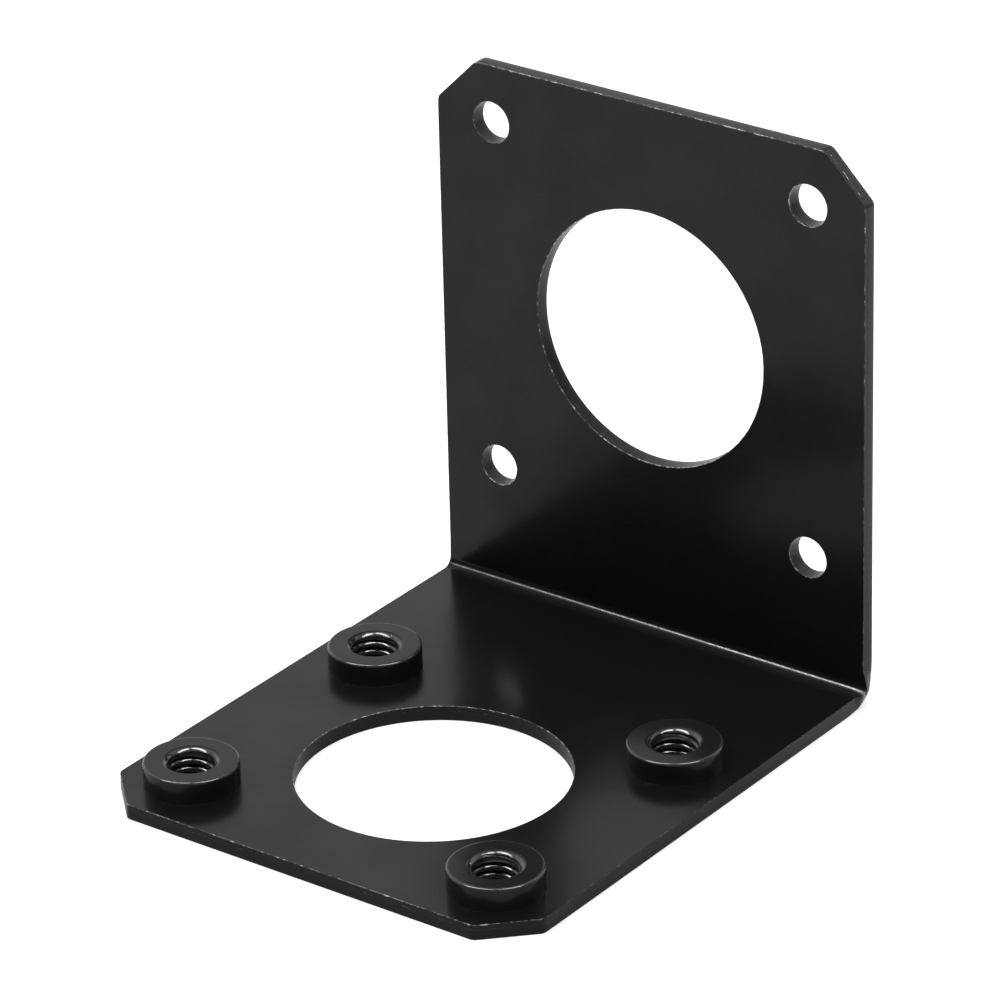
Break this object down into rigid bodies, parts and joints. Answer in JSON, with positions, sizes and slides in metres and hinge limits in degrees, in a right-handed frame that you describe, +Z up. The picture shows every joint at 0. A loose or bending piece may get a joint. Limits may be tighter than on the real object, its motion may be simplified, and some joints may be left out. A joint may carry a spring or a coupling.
{
  "type": "motor mounting bracket",
  "caption": "Folded sheet bracket: an upright plate with a pilot hole and screw holes for a square-flange motor, and a base with a round hole and clinched nuts.",
  "frame": {"origin": "centre of the base's round hole, on the underside", "axes": "+X along the fold, +Y from the base's front edge towards the upright, +Z up from the base along its round hole"},
  "size_m": [0.0428, 0.0494, 0.0481],
  "materials": {
    "sheet_coat": "smooth half-gloss black coating over steel, worn to bare specks along the punched edges",
    "nut_coat": "smooth half-gloss black coating over steel, bright where the thread crests catch the light"
  },
  "bodies": {
    "root": {"sheet": "sheet_coat", "nut_rear_left": "nut_coat", "nut_rear_right": "nut_coat", "nut_front_left": "nut_coat", "nut_front_right": "nut_coat"}
  },
  "joints": []
}
